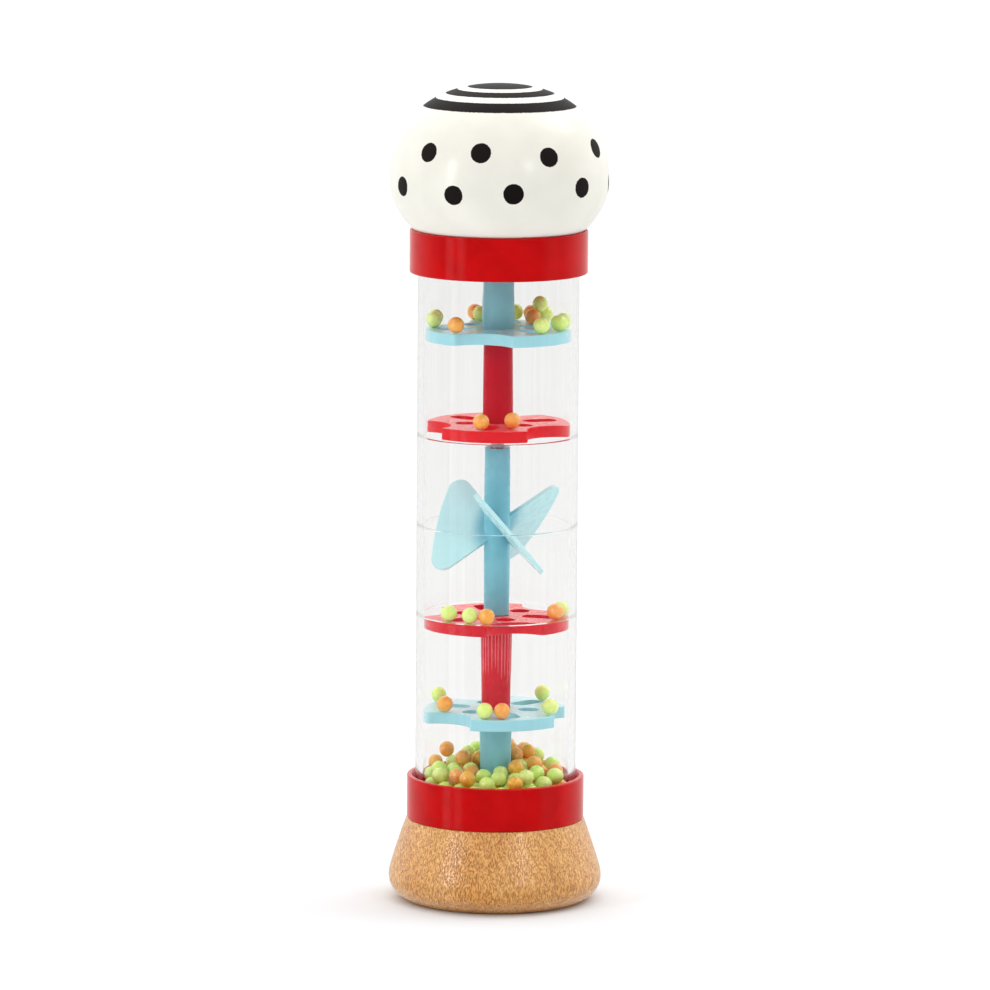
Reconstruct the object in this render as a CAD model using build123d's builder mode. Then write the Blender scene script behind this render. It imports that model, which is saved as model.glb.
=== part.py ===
from build123d import *
import math
import os
import random

# Toddler's rainmaker standing on its wooden base, in millimetres.
# The origin is the centre of the base's flat underside and +Z is up.
# Angles are measured in the XY plane from +X; the front of the toy faces -Y.

FRONT = -90.0

# Heights of the stack
BASE_TOP = 20.2
COLLAR_HEIGHT = 10.6
TUBE_SHOWN = 123.9
KNOB_HEIGHT = 35.3
LOWER_RIM = BASE_TOP + COLLAR_HEIGHT
UPPER_RIM = LOWER_RIM + TUBE_SHOWN
KNOB_FOOT = UPPER_RIM + COLLAR_HEIGHT
TOP = KNOB_FOOT + KNOB_HEIGHT
MIDDLE = (LOWER_RIM + UPPER_RIM) / 2

# Wooden base
BASE_TOP_RADIUS = 21.8
BASE_WAIST_RADIUS = 24.75
BASE_WAIST_HEIGHT = 11.6
BASE_FOOT_RADIUS = 27.8
BASE_FOOT_ROUND = 5.9
WOOD_EDGE = 0.5

# Wooden knob: the shape of a bun, cut flat where it meets its collar
KNOB_RADIUS = 26.6
KNOB_WIDEST = 176.75
KNOB_RISE = TOP - KNOB_WIDEST
KNOB_FALL = 20.1
KNOB_UPPER_FULLNESS = 2.28
KNOB_LOWER_FULLNESS = 1.85

# Collars: a socket for the tube on one side, a screwed web on the other
COLLAR_RADIUS = 21.7
COLLAR_EDGE = 0.35
COLLAR_WEB = 2.5
SOCKET_RADIUS = 19.75
SOCKET_LEAD_IN = 0.8
SOCKET_LEAD_DEPTH = 1.3
LEDGE_HEIGHT = 4.8
LEDGE_RADIUS = 15.5
BOSS_RADIUS = 4.6
SPIGOT_RADIUS = 2.5
FIT = 0.05
END_GAP = 0.1

# Wood screws, three to each collar
SCREW_COUNT = 3
SCREW_CIRCLE = 10.5
SCREW_RADIUS = 1.35
SCREW_HEAD_RADIUS = 2.8
SCREW_DEPTH = 13.0
SCREW_SPARE = 0.5
SCREW_POINT = 2.5
SCREW_POINT_RADIUS = 0.2
SCREW_HEAD = 1.6
DRIVE_WIDTH = 0.7
DRIVE_LENGTH = 3.4
DRIVE_DEPTH = 1.0

# Floor plates that cover the screws and carry the beads
PLATE_THICKNESS = 1.4
LEDGE_TOP = BASE_TOP + LEDGE_HEIGHT
FLOOR = LEDGE_TOP + PLATE_THICKNESS

# Clear tube: four sections with lap joints
TUBE_RADIUS = 19.7
TUBE_BORE = 17.95
LAP_RADIUS = 18.8
LAP_DEPTH = 1.5
SEAM_HEIGHT = 70.65
SEAM_EDGE = 0.12

# Tiers: perforated discs on short posts
DISC_RADIUS = 17.7
DISC_THICKNESS = 2.85
DISC_EDGE = 0.25
NOTCH_COUNT = 3
NOTCH_DEPTH = 5.4
NOTCH_RADIUS = 8.0
NOTCH_CENTRE = DISC_RADIUS - NOTCH_DEPTH + NOTCH_RADIUS
LOBE_ROUND = 0.8
PETAL_WIDTH = 4.8
LONG_PETAL = (6.5, 15.2)
SHORT_PETAL = (5.6, 10.7)
RED_TOP = 70.4
BLUE_TOP = 47.2
RED_UNDER = RED_TOP - DISC_THICKNESS
BLUE_UNDER = BLUE_TOP - DISC_THICKNESS
BLUE_POST_RADII = (3.65, 4.0)
RED_POST_RADII = (3.525, 3.775)
RED_SPIGOT_RADIUS = 2.0
RED_SPIGOT_LENGTH = 2.5
LOWER_BLUE_NOTCH = FRONT - 44.0
LOWER_RED_NOTCH = FRONT + 15.0
UPPER_RED_NOTCH = FRONT + 47.5
UPPER_BLUE_NOTCH = FRONT - 13.0

# Spinner and its steel axle
AXLE_RADIUS = 1.55
AXLE_HOLE_DEPTH = 5.0
AXLE_EDGE = 0.25
HUB_END_RADIUS = 3.08
HUB_MIDDLE_RADIUS = 3.2
HUB_BOTTOM = RED_TOP + 0.15
HUB_TOP = 111.7
HUB_MIDDLE = 92.05
BLADE_COUNT = 3
BLADE_FIRST = FRONT + 14.0
BLADE_PITCH = 50.0
BLADE_THICKNESS = 0.9
BLADE_ROOT = 2.4
BLADE_REACH = 15.4
BLADE_CORNER = 13.2
BLADE_HALF_CHORD = 15.85
BLADE_TIP_ROUND = 3.0

# Beads
BEAD_RADIUS = 2.0
BEAD_GAP = 0.03
WALL_GAP = 0.05
PILE_COUNT = 94
PILE_TRIES = 260
PILE_TILT = 0.13
PILE_GREEN_SHARE = 0.6
PILE_SEED = 11

MIDDLE_PLANE = Plane.XY.offset(MIDDLE)

os.makedirs("parts", exist_ok=True)


def save(piece, name):
    """Label one finished piece and write it to its own file."""
    piece.part.label = name
    export_step(piece.part, f"parts/{name}.step")


# ---------------------------------------------------------------- wooden base

with BuildPart() as base:
    with BuildSketch(Plane.XZ):
        with BuildLine():
            Line((0, 0), (BASE_FOOT_RADIUS, 0))
            ThreePointArc(
                (BASE_FOOT_RADIUS, 0),
                (BASE_WAIST_RADIUS, BASE_WAIST_HEIGHT),
                (BASE_TOP_RADIUS, BASE_TOP),
            )
            Polyline((BASE_TOP_RADIUS, BASE_TOP), (0, BASE_TOP), (0, 0))
        make_face()
        foot_corner = vertices().sort_by(Axis.X)[-1]
        fillet(foot_corner, radius=BASE_FOOT_ROUND)
    revolve(axis=Axis.Z)
    top_rim = faces().sort_by(Axis.Z)[-1].edges()
    fillet(top_rim, radius=WOOD_EDGE)
    with Locations(Plane.XY.offset(BASE_TOP)):
        with PolarLocations(SCREW_CIRCLE, SCREW_COUNT, start_angle=FRONT):
            Hole(radius=SCREW_RADIUS + FIT, depth=SCREW_DEPTH)

# -------------------------------------------------------------------- collars

with BuildPart() as lower_collar:
    with BuildSketch(Plane.XZ):
        with BuildLine():
            Polyline(
                (0, BASE_TOP),
                (COLLAR_RADIUS, BASE_TOP),
                (COLLAR_RADIUS, LOWER_RIM),
                (SOCKET_RADIUS + SOCKET_LEAD_IN, LOWER_RIM),
                (SOCKET_RADIUS, LOWER_RIM - SOCKET_LEAD_DEPTH),
                (SOCKET_RADIUS, LEDGE_TOP),
                (LEDGE_RADIUS, LEDGE_TOP),
                (LEDGE_RADIUS, BASE_TOP + COLLAR_WEB),
                (BOSS_RADIUS, BASE_TOP + COLLAR_WEB),
                (BOSS_RADIUS, LEDGE_TOP),
                (SPIGOT_RADIUS + FIT, LEDGE_TOP),
                (SPIGOT_RADIUS + FIT, BASE_TOP + COLLAR_WEB),
                (0, BASE_TOP + COLLAR_WEB),
                (0, BASE_TOP),
            )
        make_face()
    revolve(axis=Axis.Z)
    outside = faces().filter_by(GeomType.CYLINDER).sort_by(SortBy.AREA)[-1]
    fillet(outside.edges().filter_by(GeomType.CIRCLE), radius=COLLAR_EDGE)
    with Locations(Plane.XY.offset(BASE_TOP + COLLAR_WEB)):
        with PolarLocations(SCREW_CIRCLE, SCREW_COUNT, start_angle=FRONT):
            CounterSinkHole(
                radius=SCREW_RADIUS + FIT,
                counter_sink_radius=SCREW_HEAD_RADIUS + FIT,
                depth=COLLAR_WEB,
            )

with BuildPart() as upper_collar:
    mirror(lower_collar.part, about=MIDDLE_PLANE)

# ---------------------------------------------------------------- floor plates

with BuildPart() as lower_floor:
    with BuildSketch(Plane.XY.offset(LEDGE_TOP)):
        Circle(TUBE_BORE - FIT)
        Circle(SPIGOT_RADIUS + FIT, mode=Mode.SUBTRACT)
    extrude(amount=PLATE_THICKNESS)

with BuildPart() as upper_floor:
    mirror(lower_floor.part, about=MIDDLE_PLANE)

# ------------------------------------------------------------------ wood screws

with BuildPart() as base_screws:
    head_top = BASE_TOP + COLLAR_WEB
    shank_top = head_top - SCREW_HEAD
    shank_end = BASE_TOP - SCREW_DEPTH + SCREW_SPARE + SCREW_POINT
    with PolarLocations(SCREW_CIRCLE, SCREW_COUNT, start_angle=FRONT):
        with Locations((0, 0, head_top - SCREW_HEAD / 2)):
            Cone(SCREW_RADIUS, SCREW_HEAD_RADIUS, SCREW_HEAD)
        with Locations((0, 0, (shank_top + shank_end) / 2)):
            Cylinder(SCREW_RADIUS, shank_top - shank_end)
        with Locations((0, 0, shank_end - SCREW_POINT / 2)):
            Cone(SCREW_POINT_RADIUS, SCREW_RADIUS, SCREW_POINT)
        for turn in (0, 90):
            with Locations(Location((0, 0, head_top), (0, 0, turn))):
                Box(DRIVE_LENGTH, DRIVE_WIDTH, 2 * DRIVE_DEPTH, mode=Mode.SUBTRACT)

with BuildPart() as knob_screws:
    mirror(base_screws.part, about=MIDDLE_PLANE)

# -------------------------------------------------------------------- clear tube

def turned_ring(outline):
    """A piece turned about Z from a closed outline of (radius, height) points."""
    with BuildPart() as ring:
        with BuildSketch(Plane.XZ):
            with BuildLine():
                Polyline(*outline, close=True)
            make_face()
        revolve(axis=Axis.Z)
    return ring


lower_tube = turned_ring([
    (TUBE_BORE, LEDGE_TOP),
    (TUBE_RADIUS, LEDGE_TOP),
    (TUBE_RADIUS, SEAM_HEIGHT - SEAM_EDGE),
    (TUBE_RADIUS - SEAM_EDGE, SEAM_HEIGHT),
    (LAP_RADIUS, SEAM_HEIGHT),
    (LAP_RADIUS, SEAM_HEIGHT - LAP_DEPTH),
    (TUBE_BORE, SEAM_HEIGHT - LAP_DEPTH),
])

lower_chamber_tube = turned_ring([
    (TUBE_BORE, SEAM_HEIGHT - LAP_DEPTH),
    (LAP_RADIUS - FIT, SEAM_HEIGHT - LAP_DEPTH),
    (LAP_RADIUS - FIT, SEAM_HEIGHT),
    (TUBE_RADIUS - SEAM_EDGE, SEAM_HEIGHT),
    (TUBE_RADIUS, SEAM_HEIGHT + SEAM_EDGE),
    (TUBE_RADIUS, MIDDLE - SEAM_EDGE),
    (TUBE_RADIUS - SEAM_EDGE, MIDDLE),
    (LAP_RADIUS, MIDDLE),
    (LAP_RADIUS, MIDDLE - LAP_DEPTH),
    (TUBE_BORE, MIDDLE - LAP_DEPTH),
])

upper_chamber_tube = turned_ring([
    (TUBE_BORE, MIDDLE - LAP_DEPTH),
    (LAP_RADIUS - FIT, MIDDLE - LAP_DEPTH),
    (LAP_RADIUS - FIT, MIDDLE),
    (TUBE_RADIUS - SEAM_EDGE, MIDDLE),
    (TUBE_RADIUS, MIDDLE + SEAM_EDGE),
    (TUBE_RADIUS, 2 * MIDDLE - SEAM_HEIGHT - SEAM_EDGE),
    (TUBE_RADIUS - SEAM_EDGE, 2 * MIDDLE - SEAM_HEIGHT),
    (LAP_RADIUS - FIT, 2 * MIDDLE - SEAM_HEIGHT),
    (LAP_RADIUS - FIT, 2 * MIDDLE - SEAM_HEIGHT + LAP_DEPTH),
    (TUBE_BORE, 2 * MIDDLE - SEAM_HEIGHT + LAP_DEPTH),
])

with BuildPart() as upper_tube:
    mirror(lower_tube.part, about=MIDDLE_PLANE)

# -------------------------------------------------------------------------- tiers

def petal(inner, outer):
    """A round-ended hole that runs outwards along X between two radii."""
    with Locations(((inner + outer) / 2, 0)):
        SlotOverall(outer - inner, PETAL_WIDTH, mode=Mode.SUBTRACT)


def tier(top, foot, post_radii, notch_angle, spigot, socket):
    """A notched, perforated disc on a tapering post.

    The post stands on the height called foot.  Its spigot reaches below that, and a
    socket sinks into the disc's top; each is a (radius, length) pair.
    """
    step = 360.0 / NOTCH_COUNT
    under = top - DISC_THICKNESS
    spigot_radius, spigot_length = spigot
    socket_radius, socket_depth = socket
    with BuildPart() as piece:
        with BuildSketch(Plane.XY.offset(under)) as disc:
            Circle(DISC_RADIUS)
            with PolarLocations(NOTCH_CENTRE, NOTCH_COUNT, start_angle=notch_angle):
                Circle(NOTCH_RADIUS, mode=Mode.SUBTRACT)
            fillet(disc.vertices(), radius=LOBE_ROUND)
            with PolarLocations(0, NOTCH_COUNT, start_angle=notch_angle):
                petal(*SHORT_PETAL)
            with PolarLocations(0, NOTCH_COUNT, start_angle=notch_angle + step / 2):
                petal(*LONG_PETAL)
        extrude(amount=DISC_THICKNESS)
        rims = [face.outer_wire() for face in piece.faces().filter_by(Axis.Z)]
        fillet([edge for rim in rims for edge in rim.edges()], radius=DISC_EDGE)
        with BuildSketch(Plane.XZ):
            with BuildLine():
                Polyline(
                    (0, foot - spigot_length),
                    (spigot_radius, foot - spigot_length),
                    (spigot_radius, foot),
                    (post_radii[0], foot),
                    (post_radii[1], under),
                    (post_radii[1], under + DISC_THICKNESS / 2),
                    (0, under + DISC_THICKNESS / 2),
                    close=True,
                )
            make_face()
        revolve(axis=Axis.Z)
        with Locations((0, 0, top)):
            Hole(radius=socket_radius, depth=socket_depth)
    return piece


lower_blue_tier = tier(
    BLUE_TOP,
    FLOOR,
    BLUE_POST_RADII,
    LOWER_BLUE_NOTCH,
    spigot=(SPIGOT_RADIUS, FLOOR - BASE_TOP - COLLAR_WEB - END_GAP),
    socket=(RED_SPIGOT_RADIUS + FIT, RED_SPIGOT_LENGTH + END_GAP),
)
lower_red_tier = tier(
    RED_TOP,
    BLUE_TOP,
    RED_POST_RADII,
    LOWER_RED_NOTCH,
    spigot=(RED_SPIGOT_RADIUS, RED_SPIGOT_LENGTH),
    socket=(AXLE_RADIUS + FIT, AXLE_HOLE_DEPTH),
)

with BuildPart() as upper_red_tier:
    turned_red = lower_red_tier.part.rotate(Axis.Z, UPPER_RED_NOTCH - LOWER_RED_NOTCH)
    mirror(turned_red, about=MIDDLE_PLANE)

with BuildPart() as upper_blue_tier:
    turned_blue = lower_blue_tier.part.rotate(Axis.Z, UPPER_BLUE_NOTCH - LOWER_BLUE_NOTCH)
    mirror(turned_blue, about=MIDDLE_PLANE)

# ---------------------------------------------------------------- spinner and axle

def blade_plane(direction):
    """The plane of one paddle: X runs outwards, Y along its pitched chord."""
    angle = math.radians(direction)
    pitch = math.radians(BLADE_PITCH)
    outward = Vector(math.cos(angle), math.sin(angle), 0)
    around = Vector(-math.sin(angle), math.cos(angle), 0)
    chord = around * -math.cos(pitch) + Vector(0, 0, 1) * math.sin(pitch)
    return Plane(origin=(0, 0, HUB_MIDDLE), x_dir=outward, z_dir=outward.cross(chord))


with BuildPart() as spinner:
    for number in range(BLADE_COUNT):
        with BuildSketch(blade_plane(BLADE_FIRST + number * 360 / BLADE_COUNT)):
            with BuildLine():
                upper_tip = (BLADE_CORNER, BLADE_HALF_CHORD)
                lower_tip = (BLADE_CORNER, -BLADE_HALF_CHORD)
                ThreePointArc(upper_tip, (BLADE_REACH, 0), lower_tip)
                Polyline(lower_tip, (0, -BLADE_ROOT), (0, BLADE_ROOT), upper_tip)
            make_face()
            tips = vertices().group_by(SortBy.DISTANCE)[-1]
            fillet(tips, radius=BLADE_TIP_ROUND)
        extrude(amount=BLADE_THICKNESS / 2, both=True)
    with BuildSketch(Plane.XZ):
        with BuildLine():
            Line((0, HUB_BOTTOM), (HUB_END_RADIUS, HUB_BOTTOM))
            ThreePointArc(
                (HUB_END_RADIUS, HUB_BOTTOM), (HUB_MIDDLE_RADIUS, HUB_MIDDLE), (HUB_END_RADIUS, HUB_TOP)
            )
            Polyline((HUB_END_RADIUS, HUB_TOP), (0, HUB_TOP), (0, HUB_BOTTOM))
        make_face()
    revolve(axis=Axis.Z)
    with Locations((0, 0, HUB_TOP)):
        Hole(radius=AXLE_RADIUS + FIT, depth=HUB_TOP - HUB_BOTTOM)

with BuildPart() as spinner_axle:
    axle_bottom = RED_TOP - AXLE_HOLE_DEPTH + END_GAP
    axle_top = 2 * MIDDLE - axle_bottom
    with Locations((0, 0, MIDDLE)):
        Cylinder(AXLE_RADIUS, axle_top - axle_bottom)
    chamfer(edges().filter_by(GeomType.CIRCLE), length=AXLE_EDGE)

# ---------------------------------------------------------------------- wooden knob

def bun_radius(height):
    """The knob's radius at a height, from two joined superellipses."""
    above = height - KNOB_WIDEST
    if above > 0:
        reach, fullness = above / KNOB_RISE, KNOB_UPPER_FULLNESS
    else:
        reach, fullness = -above / KNOB_FALL, KNOB_LOWER_FULLNESS
    return KNOB_RADIUS * max(0.0, 1 - reach**fullness) ** (1 / fullness)


with BuildPart() as knob:
    with BuildSketch(Plane.XZ):
        with BuildLine():
            foot_radius = bun_radius(KNOB_FOOT)
            flare = bun_radius(KNOB_FOOT + 1) - foot_radius
            lower = [KNOB_FOOT + (KNOB_WIDEST - KNOB_FOOT) * step / 4 for step in range(4)]
            upper = [KNOB_WIDEST + KNOB_RISE * math.sin(math.radians(step * 9)) for step in range(10)]
            outline = [(bun_radius(height), height) for height in lower + upper]
            Spline(*outline, (0, TOP), tangents=[(flare, 1), (-1, 0)])
            Polyline((0, TOP), (0, KNOB_FOOT), (foot_radius, KNOB_FOOT))
        make_face()
    revolve(axis=Axis.Z)
    knob_rim = faces().sort_by(Axis.Z)[0].edges()
    fillet(knob_rim, radius=WOOD_EDGE)
    with Locations(Plane.XY.offset(KNOB_FOOT).rotated((180, 0, 0))):
        with PolarLocations(SCREW_CIRCLE, SCREW_COUNT, start_angle=-FRONT):
            Hole(radius=SCREW_RADIUS + FIT, depth=SCREW_DEPTH)

# ---------------------------------------------------------------------------- beads

def rest_height(x, y, surface, settled):
    """How high a bead dropped at x, y comes to rest on the surface or other beads."""
    height = surface + BEAD_RADIUS + BEAD_GAP
    reach = 2 * BEAD_RADIUS + BEAD_GAP
    for other_x, other_y, other_z in settled:
        flat = math.hypot(x - other_x, y - other_y)
        if flat < reach:
            height = max(height, other_z + math.sqrt(reach**2 - flat**2))
    return height


def settle_pile():
    """Beads poured one by one, each into the lowest of many tried places."""
    chance = random.Random(PILE_SEED)
    inner = BLUE_POST_RADII[1] + BEAD_RADIUS + WALL_GAP
    outer = TUBE_BORE - BEAD_RADIUS - WALL_GAP
    pile = []
    for _ in range(PILE_COUNT):
        tried = []
        for _ in range(PILE_TRIES):
            radius = math.sqrt(chance.uniform(inner**2, outer**2))
            angle = chance.uniform(0, 2 * math.pi)
            x, y = radius * math.cos(angle), radius * math.sin(angle)
            height = rest_height(x, y, FLOOR, pile)
            tried.append((height - PILE_TILT * y, x, y, height))
        _, x, y, height = min(tried)
        pile.append((x, y, height))
    return pile


def settle_tier(surface, places):
    """Beads set down one by one at (radius, angle right of the front)."""
    settled = []
    for radius, right in places:
        angle = math.radians(FRONT + right)
        x, y = radius * math.cos(angle), radius * math.sin(angle)
        settled.append((x, y, rest_height(x, y, surface, settled)))
    return settled


def bead_group(centres):
    """Loose beads of one colour on one tier, each its own ball."""
    with BuildPart() as group:
        with Locations(*centres):
            Sphere(BEAD_RADIUS)
    return group


EDGE = TUBE_BORE - BEAD_RADIUS - WALL_GAP

# The beads lying on each tier: colour, radius and angle right of the front
LOWER_BLUE_BEADS = [
    ("green", EDGE, -116), ("green", EDGE, -9.6), ("green", EDGE, 133), ("green", EDGE, 54.5),
    ("orange", 13.8, -63), ("orange", EDGE, 5.4),
]
LOWER_RED_BEADS = [
    ("green", EDGE, -45.5), ("green", EDGE, -23.5), ("green", EDGE, 78),
    ("orange", EDGE, -8.5), ("orange", EDGE, 62),
]
UPPER_RED_BEADS = [("orange", 15.4, -15), ("orange", 12.5, 16.3)]
UPPER_BLUE_BEADS = [
    ("green", 15.7, -87), ("green", EDGE, -103), ("green", 11.8, -158), ("green", EDGE, 164.5),
    ("green", EDGE, 132), ("green", 15.8, 40.5), ("green", 15.8, 66), ("green", EDGE, 81.5),
    ("orange", 15.5, -40.6), ("orange", EDGE, -158.5), ("orange", EDGE, 149), ("orange", 10.2, 124),
    ("green", 12.9, 127),
]
TIERS = {
    "lower_blue": (BLUE_TOP, LOWER_BLUE_BEADS),
    "lower_red": (RED_TOP, LOWER_RED_BEADS),
    "upper_red": (2 * MIDDLE - RED_UNDER, UPPER_RED_BEADS),
    "upper_blue": (2 * MIDDLE - BLUE_UNDER, UPPER_BLUE_BEADS),
}

floor_pile = settle_pile()
green_count = round(PILE_GREEN_SHARE * PILE_COUNT)
colours = ["green"] * green_count + ["orange"] * (PILE_COUNT - green_count)
random.Random(PILE_SEED).shuffle(colours)

bead_centres = {}
for colour, centre in zip(colours, floor_pile):
    bead_centres.setdefault(f"{colour}_beads_floor", []).append(centre)
for level, (surface, beads) in TIERS.items():
    resting = settle_tier(surface, [bead[1:] for bead in beads])
    for (colour, _, _), centre in zip(beads, resting):
        bead_centres.setdefault(f"{colour}_beads_{level}", []).append(centre)

# ---------------------------------------------------------------------------- output

PIECES = {
    "base": base,
    "base_screws": base_screws,
    "lower_collar": lower_collar,
    "lower_floor": lower_floor,
    "lower_tube": lower_tube,
    "lower_chamber_tube": lower_chamber_tube,
    "upper_chamber_tube": upper_chamber_tube,
    "upper_tube": upper_tube,
    "lower_blue_tier": lower_blue_tier,
    "lower_red_tier": lower_red_tier,
    "spinner": spinner,
    "spinner_axle": spinner_axle,
    "upper_red_tier": upper_red_tier,
    "upper_blue_tier": upper_blue_tier,
    "upper_floor": upper_floor,
    "upper_collar": upper_collar,
    "knob_screws": knob_screws,
    "knob": knob,
}

for name, piece in PIECES.items():
    save(piece, name)
for name, centres in bead_centres.items():
    save(bead_group(centres), name)
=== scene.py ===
import math
import random

import bmesh
import bpy
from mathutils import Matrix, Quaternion, Vector, noise


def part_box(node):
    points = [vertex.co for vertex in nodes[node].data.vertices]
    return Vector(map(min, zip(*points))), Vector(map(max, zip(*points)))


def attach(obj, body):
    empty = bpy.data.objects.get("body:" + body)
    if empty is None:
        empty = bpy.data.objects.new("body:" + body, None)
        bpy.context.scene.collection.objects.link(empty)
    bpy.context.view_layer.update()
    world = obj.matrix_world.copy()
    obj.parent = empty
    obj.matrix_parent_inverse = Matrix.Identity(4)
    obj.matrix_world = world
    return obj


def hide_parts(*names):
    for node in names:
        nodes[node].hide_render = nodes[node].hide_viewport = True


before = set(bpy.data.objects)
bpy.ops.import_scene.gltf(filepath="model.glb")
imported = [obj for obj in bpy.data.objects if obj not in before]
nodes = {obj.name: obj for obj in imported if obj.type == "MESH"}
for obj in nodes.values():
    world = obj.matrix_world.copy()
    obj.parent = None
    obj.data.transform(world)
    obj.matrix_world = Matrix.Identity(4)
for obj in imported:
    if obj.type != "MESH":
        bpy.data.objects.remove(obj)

# The object's lengths are in millimetres, and turn into metres where a mesh is made.  The
# camera and the lamps are placed in metres.
MM = 0.001
FRONT = math.radians(-90)
TUBE_BORE = 17.95
BEAD_RADIUS = 2.0
PAINT_DISTANCE = "paint"
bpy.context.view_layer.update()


# ------------------------------------------------------------------ small tools

def low(node):
    """Lowest corner of a CAD node in millimetres."""
    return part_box(node)[0] / MM


def high(node):
    """Highest corner of a CAD node in millimetres."""
    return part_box(node)[1] / MM


def direction(right):
    """Unit vector in the floor plane at an angle, in degrees, to the right of the front."""
    angle = FRONT + math.radians(right)
    return Vector((math.cos(angle), math.sin(angle), 0))


def new_mesh(name, vertices, faces, sharp=35):
    """A smooth-shaded object from vertices in millimetres, creased where it turns sharply."""
    mesh = bpy.data.meshes.new(name)
    mesh.from_pydata([Vector(vertex) * MM for vertex in vertices], [], faces)
    mesh.shade_smooth()
    mesh.set_sharp_from_angle(angle=math.radians(sharp))
    piece = bpy.data.objects.new(name, mesh)
    bpy.context.scene.collection.objects.link(piece)
    return piece


def turned(name, outline, segments, loop=False, shift=None):
    """A piece turned about Z from (radius, height) points.

    The outline runs up the outside, so that the faces look outwards.  A point of radius 0
    closes an end.  With loop, the outline goes round on itself, as a
    tube's section does.  shift moves each vertex to where the surface really lies.
    """
    vertices, rings = [], []
    for radius, height in outline:
        if radius == 0:
            rings.append([len(vertices)])
            vertices.append(Vector((0, 0, height)))
            continue
        rings.append(range(len(vertices), len(vertices) + segments))
        for step in range(segments):
            angle = 2 * math.pi * step / segments
            vertices.append(Vector((radius * math.cos(angle), radius * math.sin(angle), height)))
    if shift:
        vertices = [shift(vertex) for vertex in vertices]
    faces = []
    pairs = list(zip(rings, rings[1:])) + ([(rings[-1], rings[0])] if loop else [])
    for below, above in pairs:
        for step in range(segments):
            after = (step + 1) % segments
            if len(below) == 1:
                faces.append((below[0], above[after], above[step]))
            elif len(above) == 1:
                faces.append((below[step], below[after], above[0]))
            else:
                faces.append((below[step], below[after], above[after], above[step]))
    return new_mesh(name, vertices, faces)


def rounded(corner, before, after, radius, steps=4):
    """Points that round one corner of an outline with an arc."""
    corner, before, after = Vector(corner), Vector(before), Vector(after)
    to_before = (before - corner).normalized()
    to_after = (after - corner).normalized()
    half = to_before.angle(to_after) / 2
    start = corner + to_before * radius / math.tan(half)
    end = corner + to_after * radius / math.tan(half)
    centre = corner + (to_before + to_after).normalized() * radius / math.sin(half)
    points = []
    for step in range(steps + 1):
        mixed = start.lerp(end, step / steps) - centre
        points.append(tuple(centre + mixed.normalized() * radius))
    return points


def stand_in(piece, node, body, material):
    """piece takes a CAD node's place on its body, with a material."""
    piece.data.materials.append(material)
    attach(piece, body)
    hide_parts(node)
    return piece


# -------------------------------------------------------------------- materials

class Nodes:
    """Short ways to add nodes to a material's or the world's node tree."""

    def __init__(self, tree):
        self.tree = tree

    def add(self, kind, **inputs):
        node = self.tree.nodes.new("ShaderNode" + kind)
        for name, value in inputs.items():
            self.feed(node.inputs[name.replace("_", " ")], value)
        return node

    def feed(self, socket, value):
        """Links an output to a socket, or sets the socket to a plain value."""
        if isinstance(value, bpy.types.NodeSocket):
            self.tree.links.new(value, socket)
        else:
            socket.default_value = value

    def maths(self, operation, *values):
        node = self.add("Math")
        node.operation = operation
        for socket, value in zip(node.inputs, values):
            self.feed(socket, value)
        return node.outputs[0]

    def between(self, value, start, end, low=0.0, high=1.0, smooth=True):
        """value's stretch from start to end, mapped to low to high."""
        node = self.add("MapRange", Value=value, From_Min=start, From_Max=end, To_Min=low, To_Max=high)
        node.interpolation_type = "SMOOTHSTEP" if smooth else "LINEAR"
        return node.outputs["Result"]


class Look(Nodes):
    """A Principled material with short ways to add nodes in front of its shader."""

    def __init__(self, name, **settings):
        self.material = bpy.data.materials.new(name)
        self.material.use_nodes = True
        super().__init__(self.material.node_tree)
        self.shader = self.tree.nodes["Principled BSDF"]
        for socket, value in settings.items():
            self.set(socket.replace("_", " "), value)
        self.place = self.add("TexCoord").outputs["Object"]

    def set(self, name, value):
        self.feed(self.shader.inputs[name], value)

    def stretched(self, x, y, z):
        """The surface's own coordinates in millimetres, each multiplied."""
        node = self.add("VectorMath")
        node.operation = "MULTIPLY"
        self.feed(node.inputs[0], self.place)
        node.inputs[1].default_value = (x / MM, y / MM, z / MM)
        return node.outputs[0]

    def noise(self, scale, detail=2.0, roughness=0.5, vector=None):
        """Noise between 0 and 1 with features about 1/scale millimetres across."""
        place = self.stretched(1, 1, 1) if vector is None else vector
        node = self.add("TexNoise", Vector=place, Scale=scale, Detail=detail, Roughness=roughness)
        return node.outputs["Fac"]

    def mix(self, share, first, second):
        """The first colour turning into the second as share goes from 0 to 1."""
        node = self.add("Mix")
        node.data_type = "RGBA"
        self.feed(node.inputs[0], share)
        for socket, colour in ((node.inputs[6], first), (node.inputs[7], second)):
            self.feed(socket, colour if isinstance(colour, bpy.types.NodeSocket) else (*colour, 1))
        return node.outputs[2]

    def relief(self, *layers):
        """Bumps the surface by (height from 0 to 1, depth in millimetres) layers."""
        normal = None
        for height, depth in layers:
            bump = self.add("Bump", Height=height, Distance=depth * MM, Strength=1.0)
            if normal:
                self.feed(bump.inputs["Normal"], normal)
            normal = bump.outputs[0]
        self.set("Normal", normal)


def coordinates(look):
    """The place on the surface as three values in millimetres."""
    return look.add("SeparateXYZ", Vector=look.stretched(1, 1, 1)).outputs


def flat_length(look, x, y):
    """The length of the flat vector (x, y)."""
    return look.maths("SQRT", look.maths("ADD", look.maths("POWER", x, 2.0), look.maths("POWER", y, 2.0)))


def from_axis(look):
    """The distance from the Z axis in millimetres."""
    x, y, _ = coordinates(look)
    return flat_length(look, x, y)


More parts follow.
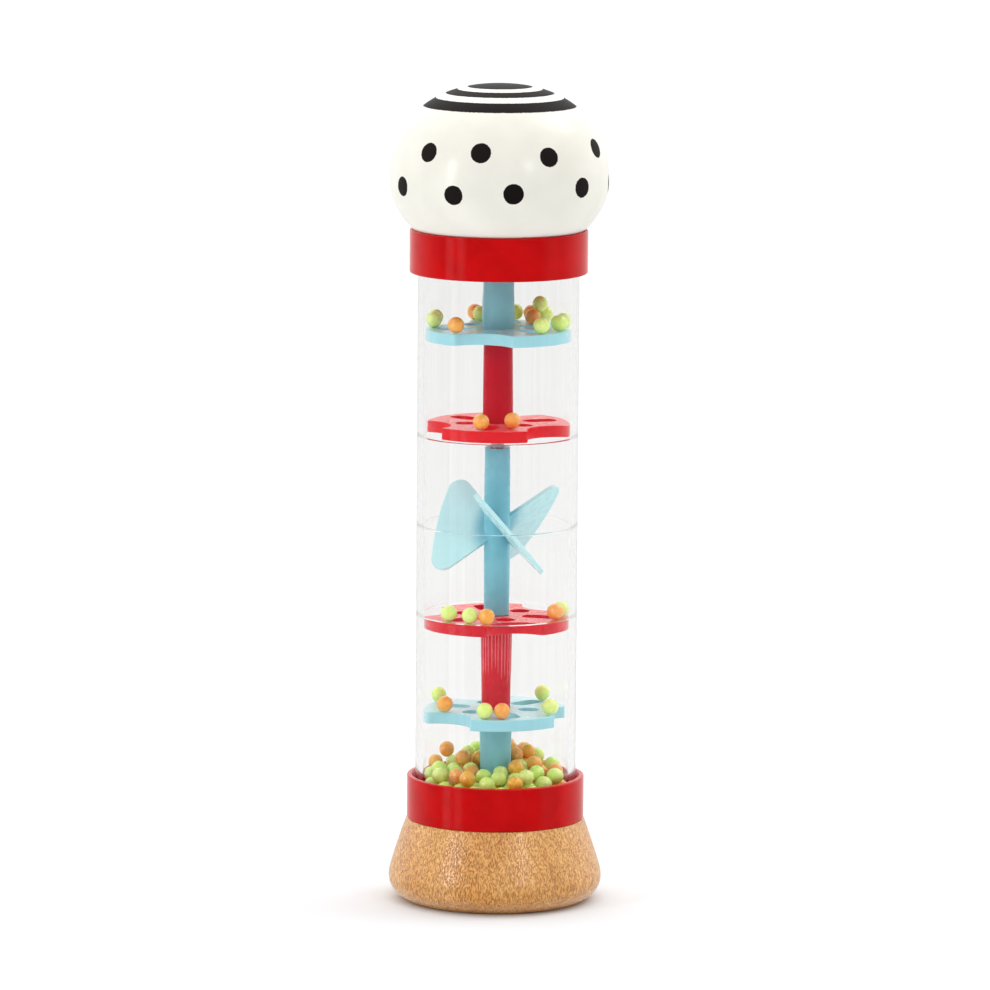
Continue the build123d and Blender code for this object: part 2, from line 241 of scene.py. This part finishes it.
def beech_look():
    """Clear-lacquered beech: golden ground, dense short dark ray flecks and faint growth rings."""
    look = Look("beech", Specular_IOR_Level=0.8)
    wander = look.add("TexNoise", Vector=look.stretched(1, 1, 1), Scale=0.35, Detail=1.0)
    east, north, up = coordinates(look)

    def along_grain(across, along, sway):
        """The place on the surface, scaled across and along the grain and swaying a little."""
        swayed = look.add("VectorMath")
        swayed.operation = "MULTIPLY_ADD"
        look.feed(swayed.inputs[0], wander.outputs["Color"])
        swayed.inputs[1].default_value = (sway, sway, sway)
        look.feed(swayed.inputs[2], look.stretched(across, across, along))
        return swayed.outputs[0]

    def dashes(across, along, sway, core, edge):
        """Dashes along the grain, full up to core from the heart of each cell and gone at edge."""
        cells = look.add("TexVoronoi", Vector=along_grain(across, along, sway), Scale=1.0, Randomness=1.0)
        return look.between(cells.outputs["Distance"], core, edge, 1.0, 0.0)

    long_flecks = dashes(2.7, 0.48, 1.8, 0.26, 0.46)
    short_flecks = dashes(4.0, 0.9, 2.4, 0.26, 0.48)
    fine_lines = look.noise(1.0, 2.0, 0.6, along_grain(4.0, 0.5, 1.6))
    flecks = look.maths("MAXIMUM", long_flecks, look.maths("MULTIPLY", short_flecks, 0.85))

    # Growth rings about a tilted heart, outside the base and off to the right of the front
    heart_right, heart_front, heart_tilt = 34.0, 30.0, 0.55
    rings_per_mm, ring_wander, ring_strength = 1.9, 2.4, 0.6
    tilted = look.maths("MULTIPLY", up, heart_tilt)
    across = look.maths("ADD", look.maths("SUBTRACT", east, heart_right), tilted)
    reach = flat_length(look, across, look.maths("ADD", north, heart_front))
    reach = look.maths("ADD", reach, look.maths("MULTIPLY", wander.outputs["Fac"], ring_wander))
    wave = look.maths("ABSOLUTE", look.maths("SINE", look.maths("MULTIPLY", reach, rings_per_mm)))
    ring_lines = look.maths("MULTIPLY", look.between(wave, 0.0, 0.45, 1.0, 0.0), ring_strength)

    cloud = look.between(look.noise(0.09, 2.0, 0.5, look.stretched(1, 1, 0.5)), 0.35, 0.65)
    ground = look.mix(cloud, (0.80, 0.385, 0.10), (0.88, 0.475, 0.15))
    ground = look.mix(look.between(fine_lines, 0.4, 0.62, 0.0, 0.45), ground, (0.62, 0.27, 0.07))
    ground = look.mix(ring_lines, ground, (0.50, 0.20, 0.045))
    fleck_colour = look.mix(cloud, (0.36, 0.115, 0.014), (0.44, 0.155, 0.025))
    look.set("Base Color", look.mix(look.maths("MULTIPLY", flecks, 0.85), ground, fleck_colour))

    # The lacquer is worn dull where the foot rolls under
    worn = look.between(up, 0.6, 2.6, 0.9, 0.0)
    look.set("Roughness", look.maths("MAXIMUM", worn, look.between(fine_lines, 0.35, 0.65, 0.1, 0.22)))
    pores = look.noise(3.2, 1.0)
    look.relief((look.maths("SUBTRACT", 1.0, flecks), 0.11), (fine_lines, 0.03), (pores, 0.045))
    return look.material


def painted_look():
    """Off-white paint over wood, with the dark dots and rings from the mesh's PAINT_DISTANCE."""
    look = Look("painted_wood", Specular_IOR_Level=0.08, Coat_Roughness=0.22)
    ragged_by, soft_by = 0.09, 0.07
    distance = look.add("Attribute")
    distance.attribute_name = PAINT_DISTANCE
    ragged = look.between(look.noise(2.2, 2.0), 0.2, 0.8, -ragged_by, ragged_by, smooth=False)
    edge = look.maths("ADD", distance.outputs["Fac"], ragged)
    dark = look.between(edge, -soft_by, soft_by)
    cloud = look.noise(0.12, 2.0)
    white = look.mix(look.between(cloud, 0.35, 0.65), (0.785, 0.767, 0.69), (0.81, 0.792, 0.715))
    worn = look.between(look.noise(5.0, 2.0, 0.6, look.stretched(1, 1, 0.5)), 0.62, 0.8)
    black = look.mix(worn, (0.009, 0.0055, 0.0055), (0.04, 0.027, 0.024))
    look.set("Base Color", look.mix(dark, white, black))
    look.set("Roughness", look.between(dark, 0, 1, 0.4, 0.55, smooth=False))
    look.set("Coat Weight", look.between(dark, 0, 1, 0.6, 0.0, smooth=False))
    grain = look.noise(1.3, 3.0, 0.6, look.stretched(1.4, 1.4, 0.35))
    grit = look.noise(4.0, 2.0, 0.6)
    look.relief((grain, 0.02), (grit, 0.022), (dark, 0.012))
    return look.material


def plastic_look(name, colour, deep, roughness, specular, grit=0.004, thin=None, scatter=0.0, top=None):
    """Moulded plastic: slightly uneven colour and gloss, with a faint skin texture.

    The colour drifts to deep in patches.  thin = (radius, colour) is what the plastic turns to
    beyond that radius, where it is thin: a painted glow, a paler colour standing in for light
    shining through the thin plastic, so that the posts and hub within it look like painted shade.
    top is a painted reflection: a paler colour, in patches, on the upward faces, standing in for
    the bright backdrop that they mirror.  grit is the depth of the skin's texture in millimetres.
    """
    thin_blend = 4.0
    look = Look(name, Specular_IOR_Level=specular)
    tone = look.mix(look.between(look.noise(0.16, 3.0), 0.3, 0.7), colour, deep)
    flecks = look.between(look.noise(3.0, 2.0, 0.7), 0.66, 0.8)
    tone = look.mix(look.maths("MULTIPLY", flecks, 0.08), tone, tuple(0.4 + value / 2 for value in colour))
    # Painted light: beyond the radius the colour turns paler, a glow standing in for light through the thin
    # plastic, and the posts and hub within look shaded
    if thin:
        limit, glow_colour = thin
        tone = look.mix(look.between(from_axis(look), limit, limit + thin_blend), tone, glow_colour)
    # Painted reflection: the upward faces turn paler in patches, standing in for the bright backdrop they
    # mirror
    if top:
        facing = look.add("SeparateXYZ", Vector=look.add("NewGeometry").outputs["Normal"]).outputs["Z"]
        sheen_patches = look.between(look.noise(1.1, 3.0, 0.65), 0.36, 0.6, 0.35, 1.0)
        tone = look.mix(look.maths("MULTIPLY", look.between(facing, 0.8, 0.95), sheen_patches), tone, top)
    look.set("Base Color", tone)
    look.set("Roughness", look.between(look.noise(0.5, 3.0), 0.3, 0.7, roughness * 0.85, roughness * 1.25))
    if scatter:
        look.set("Subsurface Weight", scatter)
        look.set("Subsurface Radius", (0.9, 1.0, 1.0))
        look.set("Subsurface Scale", 1.5 * MM)
    look.relief((look.noise(0.35, 1.0), 0.004), (look.noise(3.3, 2.0), grit))
    return look.material


def bead_look(name, first, second):
    """Small translucent beads: each its own shade from first to second, lightly mottled and shiny."""
    look = Look(name, Specular_IOR_Level=0.7, Coat_Weight=0.3, Coat_Roughness=0.12)
    each = look.add("NewGeometry").outputs["Random Per Island"]
    tone = look.mix(each, first, second)
    mottle = look.between(look.noise(1.9, 3.0, 0.6), 0.45, 0.7)
    deeper = tuple(value * share for value, share in zip(first, (0.86, 0.8, 0.6)))
    paler = tuple(min(1.0, value * 1.08 + 0.04) for value in first)
    tone = look.mix(look.maths("MULTIPLY", mottle, 0.5), tone, paler)
    veins = look.between(look.noise(1.4, 3.0, 0.7), 0.42, 0.5, 1.0, 0.0)
    look.set("Base Color", look.mix(look.maths("MULTIPLY", veins, 0.3), tone, deeper))
    look.set("Roughness", look.between(look.noise(1.1, 2.0), 0.3, 0.7, 0.14, 0.3))
    look.set("Subsurface Weight", 0.7)
    look.set("Subsurface Radius", (1.0, 0.8, 0.5))
    look.set("Subsurface Scale", 2.5 * MM)
    look.relief((look.noise(1.3, 2.0), 0.1), (look.noise(2.6, 2.0), 0.11))
    return look.material


def clear_look():
    """Clear moulded plastic, faintly smoky outside, with faint draw lines down its wall."""
    look = Look("clear_plastic", Transmission_Weight=1.0, IOR=1.22, Roughness=0.01)
    x, y, height = coordinates(look)
    turn = look.maths("MULTIPLY", look.maths("ARCTAN2", y, x), 20.0)
    along = look.add("CombineXYZ", X=turn, Z=look.maths("MULTIPLY", height, 0.01))
    lines = look.noise(1.0, 2.0, 0.6, along.outputs[0])
    # Only the outer skin is tinted, so the wall looks alike at its edges and in the middle
    skin = look.between(from_axis(look), TUBE_BORE + 0.3, TUBE_BORE + 0.9)
    smoke = look.mix(look.between(lines, 0.35, 0.65), (0.825, 0.81, 0.792), (0.79, 0.775, 0.756))
    look.set("Base Color", look.mix(skin, (1.0, 1.0, 1.0), smoke))
    look.relief((look.between(lines, 0.6, 0.8), 0.004))
    return look.material


def steel_look():
    """Steel, brushed along its length."""
    look = Look("steel", Metallic=1.0)
    lines = look.noise(1.0, 3.0, 0.6, look.stretched(9, 9, 0.25))
    look.set("Base Color", look.mix(lines, (0.30, 0.31, 0.33), (0.52, 0.53, 0.55)))
    look.set("Roughness", look.between(lines, 0.3, 0.7, 0.26, 0.44))
    look.relief((lines, 0.01))
    return look.material


BEECH = beech_look()
PAINTED = painted_look()
STEEL = steel_look()
CLEAR = clear_look()
# Radii near the sides of the posts and the hub: outside them the discs and paddles are thin, and paler
# there, as a painted glow of light shining through them
POST_SIDE, HUB_SIDE = 3.9, 3.3
# The upward faces' paler colours are a painted reflection of the bright backdrop
REFLECTED_TOP_RED, REFLECTED_TOP_BLUE = (0.92, 0.17, 0.17), (0.52, 0.83, 0.89)
COLLAR_RED = plastic_look("red_collar", (0.55, 0.003, 0.004), (0.47, 0.0025, 0.0035), 0.16, 0.12)
TIER_RED = plastic_look(
    "red_tier", (0.60, 0.002, 0.019), (0.50, 0.002, 0.014), 0.22, 0.1, grit=0.03,
    thin=(POST_SIDE, (0.78, 0.012, 0.02)), top=REFLECTED_TOP_RED)
ROSE_RED = plastic_look(
    "rose_tier", (0.75, 0.018, 0.035), (0.66, 0.012, 0.026), 0.24, 0.2, grit=0.02, top=REFLECTED_TOP_RED)
# The ribs' pale pink is a painted highlight: they are the post's red plastic, made paler to stand in for
# light catching them
RIBS_PAINTED_HIGHLIGHT = plastic_look("red_ribs_painted_highlight", (0.86, 0.26, 0.30), (0.78, 0.18, 0.22), 0.3, 0.4, grit=0.02)
TIER_BLUE = plastic_look(
    "blue_tier", (0.27, 0.61, 0.70), (0.24, 0.56, 0.65), 0.22, 0.2, grit=0.012,
    thin=(POST_SIDE, (0.37, 0.72, 0.80)), scatter=0.2, top=REFLECTED_TOP_BLUE)
SPINNER_BLUE = plastic_look(
    "blue_spinner", (0.23, 0.58, 0.69), (0.19, 0.52, 0.63), 0.26, 0.15,
    thin=(HUB_SIDE, (0.55, 0.86, 0.90)), scatter=0.35)
BEAD_LOOKS = {
    "green": bead_look("green_beads", (0.67, 0.95, 0.20), (0.78, 0.98, 0.31)),
    "orange": bead_look("orange_beads", (1.0, 0.47, 0.035), (1.0, 0.38, 0.075)),
}

CAD_LOOKS = {
    "base_screws": STEEL,
    "knob_screws": STEEL,
    "spinner_axle": STEEL,
    "lower_collar": COLLAR_RED,
    "upper_collar": COLLAR_RED,
    "lower_floor": COLLAR_RED,
    "upper_floor": COLLAR_RED,
    "lower_blue_tier": TIER_BLUE,
    "upper_blue_tier": TIER_BLUE,
    "lower_red_tier": ROSE_RED,
    "upper_red_tier": TIER_RED,
    "spinner": SPINNER_BLUE,
}
for name, look in CAD_LOOKS.items():
    nodes[name].data.materials.clear()
    nodes[name].data.materials.append(look)


# ------------------------------------------------------------------------- base

BASE_TOP = high("base").z
# Three points of the side's arc, as in the CAD: radius and height
BASE_PROFILE = ((21.8, BASE_TOP), (24.75, 11.6), (27.8, 0))
BASE_FOOT_ROUND = 5.9
BASE_SEGMENTS = 520
WOOD_EDGE = 0.5
# Turned ends begin with a flat ring of faces this wide, which keeps their edges crisp
END_RING = 3


def circle_through(a, b, c):
    """Centre and radius of the circle through three points."""
    ab, bc = b - a, c - b
    across_ab, across_bc = Vector((-ab.y, ab.x)), Vector((-bc.y, bc.x))
    gap = (b + c) / 2 - (a + b) / 2
    along = (gap.x * across_bc.y - gap.y * across_bc.x) / (
        across_ab.x * across_bc.y - across_ab.y * across_bc.x)
    centre = (a + b) / 2 + across_ab * along
    return centre, (a - centre).length


def arc(centre, radius, start, end, steps):
    """Points on an arc from one angle to another."""
    angles = [start + (end - start) * step / steps for step in range(steps + 1)]
    return [(centre.x + radius * math.cos(angle), centre.y + radius * math.sin(angle)) for angle in angles]


def base_side():
    """The base's side from the rounded foot up to the top, as in the CAD."""
    a, b, c = (Vector(point) for point in BASE_PROFILE)
    centre, radius = circle_through(a, b, c)
    # The foot's round touches the underside and, from inside, the side's big arc
    reach = radius - BASE_FOOT_ROUND
    rise = BASE_FOOT_ROUND - centre.y
    foot = Vector((centre.x + math.sqrt(reach**2 - rise**2), BASE_FOOT_ROUND))
    meeting = math.atan2(foot.y - centre.y, foot.x - centre.x)
    top = math.atan2(a.y - centre.y, a.x - centre.x)
    return arc(foot, BASE_FOOT_ROUND, -math.pi / 2, meeting, 24) + arc(centre, radius, meeting, top, 60)[1:]


def make_base():
    """The flared base, with the fine relief of the grain sunk into its side."""
    side = base_side()
    rim = rounded(side[-1], side[-3], (0, BASE_TOP), WOOD_EDGE)
    outline = [(0, 0), (side[0][0] - END_RING, 0)]
    outline += [point for point in side if point[1] < rim[0][1]] + rim
    outline += [(rim[-1][0] - END_RING, BASE_TOP), (0, BASE_TOP)]
    flat_within, sunk, coarse_depth, fine_depth = 18, 0.075, 0.05, 0.035

    def grain(vertex):
        flat = Vector((vertex.x, vertex.y, 0))
        if flat.length < flat_within:
            return vertex
        sample = Vector((vertex.x, vertex.y, vertex.z * 0.3))
        depth = coarse_depth * noise.noise(sample * 1.1) + fine_depth * noise.noise(sample * 2.4)
        return vertex + flat.normalized() * (depth - sunk)

    return turned("wooden_base", outline, BASE_SEGMENTS, shift=grain)


stand_in(make_base(), "base", "rainmaker", BEECH)


# ------------------------------------------------------------------------- knob

KNOB_FOOT, KNOB_TOP, KNOB_RADIUS = low("knob").z, high("knob").z, high("knob").x
KNOB_WIDEST = 176.75
KNOB_FALL = 20.1
KNOB_UPPER_FULLNESS = 2.28
KNOB_LOWER_FULLNESS = 1.85
KNOB_SEGMENTS = 400
SMALLEST_RING = 0.25
# The dark centre and the two dark rings on top, by their inner and outer radius
RING_EDGES = ((0, 7.9), (10.3, 13.2), (15.5, 18.6))
# The painted dots, an upper and a lower row: degrees to the right of the front, height and radius
DOTS = (
    (-42.2, 185.7, 2.42), (-10.3, 186.2, 2.5), (27.7, 185.1, 2.42), (67.0, 186.1, 2.42),
    (103.0, 185.4, 2.45), (139.0, 186.0, 2.4), (174.0, 185.6, 2.5), (-152.0, 185.9, 2.42),
    (-124.0, 185.4, 2.4), (-98.0, 186.0, 2.42),
    (-61.5, 176.8, 2.42), (-24.6, 175.9, 2.4), (7.4, 176.5, 2.5), (48.6, 177.3, 2.45),
    (87.0, 176.6, 2.4), (123.0, 176.2, 2.42), (158.0, 176.9, 2.4), (-167.0, 176.4, 2.45),
    (-132.0, 177.0, 2.42), (-96.0, 176.3, 2.4),
)


def bun_radius(height):
    """The knob's radius at a height, as the CAD has it."""
    above = height - KNOB_WIDEST
    if above > 0:
        reach, fullness = above / (KNOB_TOP - KNOB_WIDEST), KNOB_UPPER_FULLNESS
    else:
        reach, fullness = -above / KNOB_FALL, KNOB_LOWER_FULLNESS
    return KNOB_RADIUS * max(0.0, 1 - reach**fullness) ** (1 / fullness)


def paint_distance(vertex, dots):
    """How far inside the nearest painted dot or ring a point is; outside them all it is negative."""
    flat = math.hypot(vertex.x, vertex.y)
    inside = []
    if vertex.z > KNOB_WIDEST:
        inside += [min(flat - inner, outer - flat) if inner else outer - flat for inner, outer in RING_EDGES]
    inside += [radius - (vertex - centre).length for centre, radius in dots]
    return max(inside)


def make_knob():
    """The bun-shaped knob, dense enough to carry the edge of its painted pattern."""
    steps_below, steps_above = 44, 120
    heights = [KNOB_FOOT + (KNOB_WIDEST - KNOB_FOOT) * step / steps_below for step in range(steps_below)]
    heights += [
        KNOB_WIDEST + (KNOB_TOP - KNOB_WIDEST) * math.sin(math.pi / 2 * step / steps_above)
        for step in range(steps_above)
    ]
    side = [(bun_radius(height), height) for height in heights]
    rim = rounded(side[0], (0, KNOB_FOOT), side[2], WOOD_EDGE)
    outline = [(0, KNOB_FOOT), (side[0][0] - END_RING, KNOB_FOOT)] + rim
    outline += [point for point in side if point[1] > rim[-1][1] and point[0] > SMALLEST_RING]
    outline.append((0, KNOB_TOP))
    knob = turned("painted_knob", outline, KNOB_SEGMENTS)
    dots = []
    for right, height, radius in DOTS:
        centre = direction(right) * bun_radius(height)
        centre.z = height
        dots.append((centre, radius))
    paint = knob.data.attributes.new(PAINT_DISTANCE, "FLOAT", "POINT")
    for vertex, value in zip(knob.data.vertices, paint.data):
        value.value = paint_distance(vertex.co / MM, dots)
    return knob


stand_in(make_knob(), "knob", "rainmaker", PAINTED)


# ------------------------------------------------------------------- ribbed post

POST_TOP_RADIUS, POST_FOOT_RADIUS = 3.775, 3.525
RIB_COUNT = 27
RIB_PROUD = 0.1
RIB_SUNK = 0.03
RIB_BACK = 0.12
RIB_HALF_WIDTH = 0.17
RIB_FOOT_WIDTH = 0.35
RIB_ROWS, RIB_COLUMNS = 14, 6
RIBS_BELOW_TIER_TOP = 2.7


def make_ribs():
    """Fine upright ribs on the lower red post, which fade out half to four fifths of the way down."""
    chance = random.Random(RIB_COUNT)
    top = high("lower_red_tier").z - RIBS_BELOW_TIER_TOP
    foot = high("lower_blue_tier").z
    around = RIB_COLUMNS + 2
    vertices, faces = [], []
    for number in range(RIB_COUNT):
        angle = 2 * math.pi * (number + chance.uniform(-0.22, 0.22)) / RIB_COUNT
        length = (top - foot) * chance.uniform(0.5, 0.8)
        half_width = RIB_HALF_WIDTH * chance.uniform(0.7, 1.15)
        start = len(vertices)
        for row in range(RIB_ROWS + 1):
            share = row / RIB_ROWS
            height = top - length * share
            radius = POST_TOP_RADIUS + (POST_FOOT_RADIUS - POST_TOP_RADIUS) * (top - height) / (top - foot)
            fade = 1 - share**3
            for column in range(RIB_COLUMNS + 1):
                side = 2 * column / RIB_COLUMNS - 1
                out = radius - RIB_SUNK + (RIB_PROUD + RIB_SUNK) * fade * (1 - side**2)
                turn = angle + side * half_width * (RIB_FOOT_WIDTH + (1 - RIB_FOOT_WIDTH) * fade) / radius
                vertices.append((out * math.cos(turn), out * math.sin(turn), height))
            behind = radius - RIB_BACK
            vertices.append((behind * math.cos(angle), behind * math.sin(angle), height))
        for row in range(RIB_ROWS):
            for column in range(around):
                here, after = start + row * around, (column + 1) % around
                faces.append((here + column, here + around + column, here + around + after, here + after))
        faces.append(tuple(start + column for column in range(around)))
        faces.append(tuple(start + RIB_ROWS * around + column for column in reversed(range(around))))
    return new_mesh("post_ribs", vertices, faces, sharp=80)


ribs = make_ribs()
ribs.data.materials.append(RIBS_PAINTED_HIGHLIGHT)
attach(ribs, "rainmaker")


# ------------------------------------------------------------------- clear tube

TUBE_RADIUS = high("lower_tube").x
TUBE_SEGMENTS = 256
TUBE_EDGE = 0.05
SEAM_GAP = 0.008
SEAMS = (
    low("lower_tube").z, high("lower_tube").z, high("lower_chamber_tube").z,
    low("upper_tube").z, high("upper_tube").z,
)


def make_tube(name, bottom, top):
    """One clear section, with small rounded edges where it meets the next."""
    corners = [
        Vector(corner)
        for corner in ((TUBE_BORE, bottom), (TUBE_RADIUS, bottom), (TUBE_RADIUS, top), (TUBE_BORE, top))
    ]
    beside = 3 * TUBE_EDGE
    outline = []
    for number, corner in enumerate(corners):
        before, after = corners[number - 1], corners[(number + 1) % len(corners)]
        # The points beside each rounded corner keep the long faces' shading flat
        outline.append(tuple(corner + (before - corner).normalized() * beside))
        outline += rounded(corner, before, after, TUBE_EDGE, 3)
        outline.append(tuple(corner + (after - corner).normalized() * beside))
    return turned(name, outline, TUBE_SEGMENTS, loop=True)


TUBES = ("lower_tube", "lower_chamber_tube", "upper_chamber_tube", "upper_tube")
for node, bottom, top in zip(TUBES, SEAMS, SEAMS[1:]):
    tube = make_tube("clear_" + node, bottom + SEAM_GAP / 2, top - SEAM_GAP / 2)
    stand_in(tube, node, "rainmaker", CLEAR)
    # Thin clear plastic hardly shades what is round it, and this way the beads stay bright
    tube.visible_shadow = False
    tube.visible_diffuse = False


# ------------------------------------------------------------------------ beads

def loose_centres(node):
    """The centre of each separate ball in a CAD node, in millimetres."""
    mesh = nodes[node].data
    group = list(range(len(mesh.vertices)))

    def root(index):
        while group[index] != index:
            group[index] = group[group[index]]
            index = group[index]
        return index

    for edge in mesh.edges:
        first, second = root(edge.vertices[0]), root(edge.vertices[1])
        group[max(first, second)] = min(first, second)
    balls = {}
    for vertex in mesh.vertices:
        balls.setdefault(root(vertex.index), []).append(vertex.co)
    centres = []
    for points in balls.values():
        lowest = Vector([min(point[axis] for point in points) for axis in range(3)])
        highest = Vector([max(point[axis] for point in points) for axis in range(3)])
        centres.append((lowest + highest) / 2 / MM)
    return centres


def unit_ball():
    """The points and triangles of an evenly divided ball of radius 1."""
    shape = bmesh.new()
    bmesh.ops.create_icosphere(shape, subdivisions=4, radius=1.0)
    shape.verts.index_update()
    points = [vertex.co.copy() for vertex in shape.verts]
    triangles = [tuple(vertex.index for vertex in face.verts) for face in shape.faces]
    shape.free()
    return points, triangles


def make_beads(node):
    """Every ball of a group as its own slightly uneven bead."""
    dip_depth, pit_depth = 0.06, 0.035
    chance = random.Random(node)
    points, triangles = unit_ball()
    vertices, faces = [], []
    for centre in loose_centres(node):
        own = Vector([chance.uniform(0, 50) for _ in range(3)])
        start = len(vertices)
        for point in points:
            dip = 0.5 + 0.5 * noise.noise(point * 1.3 + own)
            pit = 0.5 + 0.5 * noise.noise(point * 4.5 + own)
            vertices.append(centre + point * (BEAD_RADIUS - dip_depth * dip - pit_depth * pit))
        faces += [tuple(start + index for index in face) for face in triangles]
    return new_mesh("loose_" + node, vertices, faces, sharp=80)


for node in sorted(nodes):
    if "_beads_" in node:
        colour, level = node.split("_beads_")
        stand_in(make_beads(node), node, "beads_" + level, BEAD_LOOKS[colour])


# ---------------------------------------------------------------- floor, light, camera

# The sky's panels: degrees to the right of the camera, half width and soft edge in degrees,
# and strength
UPRIGHT_PANELS = ((-66, 4, 4, 2.2), (-50, 3, 4, 1.9), (72, 4, 12, 0.6))
# The lamps: name, place, width and height in metres, and power in watts
SOFTBOXES = (
    ("left_strip", (-0.8, -0.62, 0.36), 0.12, 0.4, 2.0),
    ("front_right", (0.66, -1.05, 0.56), 0.17, 0.26, 1.4),
    ("back_right", (0.85, 0.35, 1.2), 0.6, 0.6, 2.6),
)
LIT_POINT = (0, 0, 0.1)


def make_floor():
    """A wide white table top, which isn't part of the object."""
    side, front, back = 9e3, -3e3, 15e3
    corners = [(-side, front, 0), (side, front, 0), (side, back, 0), (-side, back, 0)]
    floor = new_mesh("floor", corners, [(0, 1, 2, 3)])
    look = Look("floor", Base_Color=(0.772, 0.79, 0.808, 1), Roughness=1.0, Specular_IOR_Level=0.0)
    floor.data.materials.append(look.material)
    floor.visible_glossy = False


def make_sky():
    """Soft white all round, brightest above and behind.

    Below the horizon only reflections see it, because the floor hides it from all other
    rays.  There it is dark in front, with upright light panels to the left and right.
    """
    world = bpy.data.worlds.new("studio")
    bpy.context.scene.world = world
    world.use_nodes = True
    sky = Nodes(world.node_tree)
    right, back, up = sky.add("SeparateXYZ", Vector=sky.add("TexCoord").outputs["Generated"]).outputs
    from_camera = sky.maths("ARCTAN2", right, sky.maths("MULTIPLY", back, -1.0))
    azimuth = sky.maths("MULTIPLY", from_camera, 180 / math.pi)

    above = sky.maths(
        "ADD", sky.between(back, -0.4, 0.35, 0.42, 1.28), sky.between(up, 0.2, 0.9, 0.0, 0.7))
    below = sky.between(back, -0.45, 0.5, 0.03, 1.0)
    for centre, half_width, soft, strength in UPRIGHT_PANELS:
        off = sky.maths("ABSOLUTE", sky.maths("SUBTRACT", azimuth, centre))
        panel = sky.between(off, half_width, half_width + soft, 1.0, 0.0)
        below = sky.maths("ADD", below, sky.maths("MULTIPLY", panel, strength))
    over_horizon = sky.between(up, -0.04, 0.04)
    under_horizon = sky.maths("SUBTRACT", 1.0, over_horizon)
    total = sky.maths(
        "ADD", sky.maths("MULTIPLY", above, over_horizon), sky.maths("MULTIPLY", below, under_horizon))
    background = world.node_tree.nodes["Background"]
    background.inputs["Color"].default_value = (1.0, 0.995, 0.985, 1)
    sky.feed(background.inputs["Strength"], total)


def aimed(name, data, place, target):
    """A lamp or camera at a place in metres, looking at a target."""
    aimed_object = bpy.data.objects.new(name, data)
    aimed_object.location = place
    aimed_object.rotation_mode = "QUATERNION"
    aimed_object.rotation_quaternion = (Vector(target) - Vector(place)).to_track_quat("-Z", "Y")
    bpy.context.scene.collection.objects.link(aimed_object)
    return aimed_object


def make_softbox(name, place, width, height, power):
    """An oblong area lamp that shines on the middle of the object."""
    lamp = bpy.data.lights.new(name, "AREA")
    lamp.shape = "RECTANGLE"
    lamp.size, lamp.size_y = width, height
    lamp.energy = power
    aimed(name, lamp, place, LIT_POINT)


def make_camera():
    """The camera of the picture: far off, a little above the object, rolled a touch."""
    distance, height, sideways, aim = 1.8, 0.3654, -0.00055, 0.0999
    pixels_per_metre, frame_pixels, roll = 4095.0, 990, math.radians(0.39)
    place, target = Vector((sideways, -distance, height)), Vector((sideways, 0, aim))
    forward = target - place
    data = bpy.data.cameras.new("camera")
    data.sensor_width = 36.0
    data.lens = pixels_per_metre * forward.length / frame_pixels * data.sensor_width
    data.clip_start, data.clip_end = 0.1, 60
    camera = aimed("camera", data, place, target)
    camera.rotation_quaternion.rotate(Quaternion(forward.normalized(), -roll))
    bpy.context.scene.camera = camera


make_floor()
make_sky()
for softbox in SOFTBOXES:
    make_softbox(*softbox)
make_camera()

bpy.context.scene.view_settings.view_transform = "Standard"
